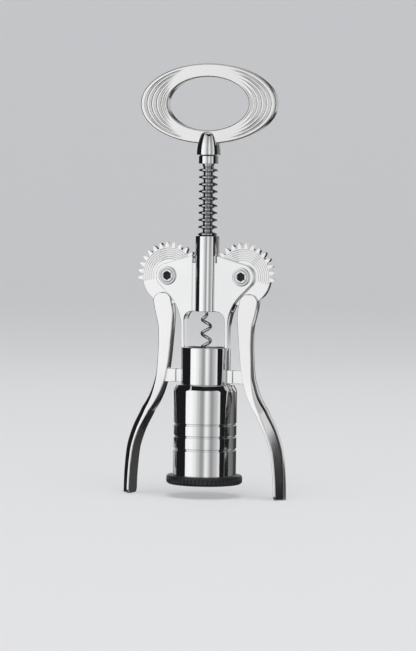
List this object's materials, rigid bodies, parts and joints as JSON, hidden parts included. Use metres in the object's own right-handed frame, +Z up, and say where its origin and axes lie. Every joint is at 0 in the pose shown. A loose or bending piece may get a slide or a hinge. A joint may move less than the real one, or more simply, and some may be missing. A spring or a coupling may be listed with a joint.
{
  "type": "lever corkscrew",
  "caption": "Lever corkscrew: geared levers drive a ring-grooved rack that pulls a worm up through a self-centring bell, with an oval ring handle.",
  "frame": {"origin": "on the spindle axis, level with the lever tips when the levers hang down", "axes": "+Z up the spindle towards the handle ring; the levers and the handle ring lie in the XZ plane at rest; front is -Y"},
  "size_m": [0.114, 0.0506, 0.2873],
  "materials": {
    "polished_chrome": "mirror-polished chrome plate over a zinc casting",
    "lever_chrome": "polished chrome plate, satin on the gear faces",
    "satin_chrome": "satin chrome with turned concentric grooves",
    "rack_chrome": "polished chrome rings with dark grooves",
    "black_nylon": "black rubber-like nylon, semi-gloss",
    "guide_nylon": "dark self-lubricating nylon",
    "turned_steel": "fine turned stainless steel",
    "spring_steel": "bright drawn spring steel",
    "bolt_steel": "bright machined steel with turned rings",
    "worm_steel": "polished hardened steel wire",
    "bush_brass": "turned bearing brass"
  },
  "bodies": {
    "frame": {"frame_casting": "polished_chrome", "upper_guide_bush": "guide_nylon", "lower_guide_bush": "guide_nylon", "bell_shell": "polished_chrome", "foot_ring": "black_nylon", "sleeve_retainer": "guide_nylon", "centring_spring": "spring_steel", "left_pivot_bolt": "bolt_steel", "right_pivot_bolt": "bolt_steel", "left_pivot_nut": "bolt_steel", "right_pivot_nut": "bolt_steel", "left_thrust_washers": "spring_steel", "right_thrust_washers": "spring_steel"},
    "sleeve": {"centring_sleeve": "turned_steel"},
    "left_lever_arm": {"left_lever": "lever_chrome", "left_pivot_bush": "bush_brass"},
    "right_lever_arm": {"right_lever": "lever_chrome", "right_pivot_bush": "bush_brass"},
    "rack": {"rack_sleeve": "rack_chrome", "rack_collar": "polished_chrome", "rack_thrust_washer": "guide_nylon"},
    "spindle": {"spindle_shaft": "turned_steel", "worm_hub": "turned_steel", "hub_set_screw": "spring_steel", "worm": "worm_steel", "handle_neck": "polished_chrome", "handle_ring": "satin_chrome", "handle_pin": "turned_steel"}
  },
  "joints": [
    {"name": "left_lever_pivot", "type": "hinge", "parent": "frame", "child": "left_lever_arm", "pos_m": [-0.026, 0, 0.1466], "axis": [0, 1, 0], "range_deg": [0, 128.5]},
    {"name": "right_lever_pivot", "type": "hinge", "parent": "frame", "child": "right_lever_arm", "pos_m": [0.026, 0, 0.1466], "axis": [0, -1, 0], "range_deg": [0, 128.6]},
    {"name": "rack_slide", "type": "slide", "parent": "frame", "child": "rack", "axis": [0, 0, -1], "range_m": [0, 0.0472]},
    {"name": "spindle_turn", "type": "hinge", "parent": "rack", "child": "spindle", "pos_m": [0, 0, 0.2], "axis": [0, 0, 1], "continuous": true},
    {"name": "centring_slide", "type": "slide", "parent": "frame", "child": "sleeve", "axis": [0, 0, 1], "range_m": [0, 0.008], "stiffness_N_per_m": 400, "springref_m": -0.005, "deforming": ["centring_spring"]}
  ],
  "couplings": [
    {"joint": "right_lever_pivot", "follows": "left_lever_pivot", "ratio": 1},
    {"joint": "rack_slide", "follows": "left_lever_pivot", "m_per_rad": 0.021}
  ]
}
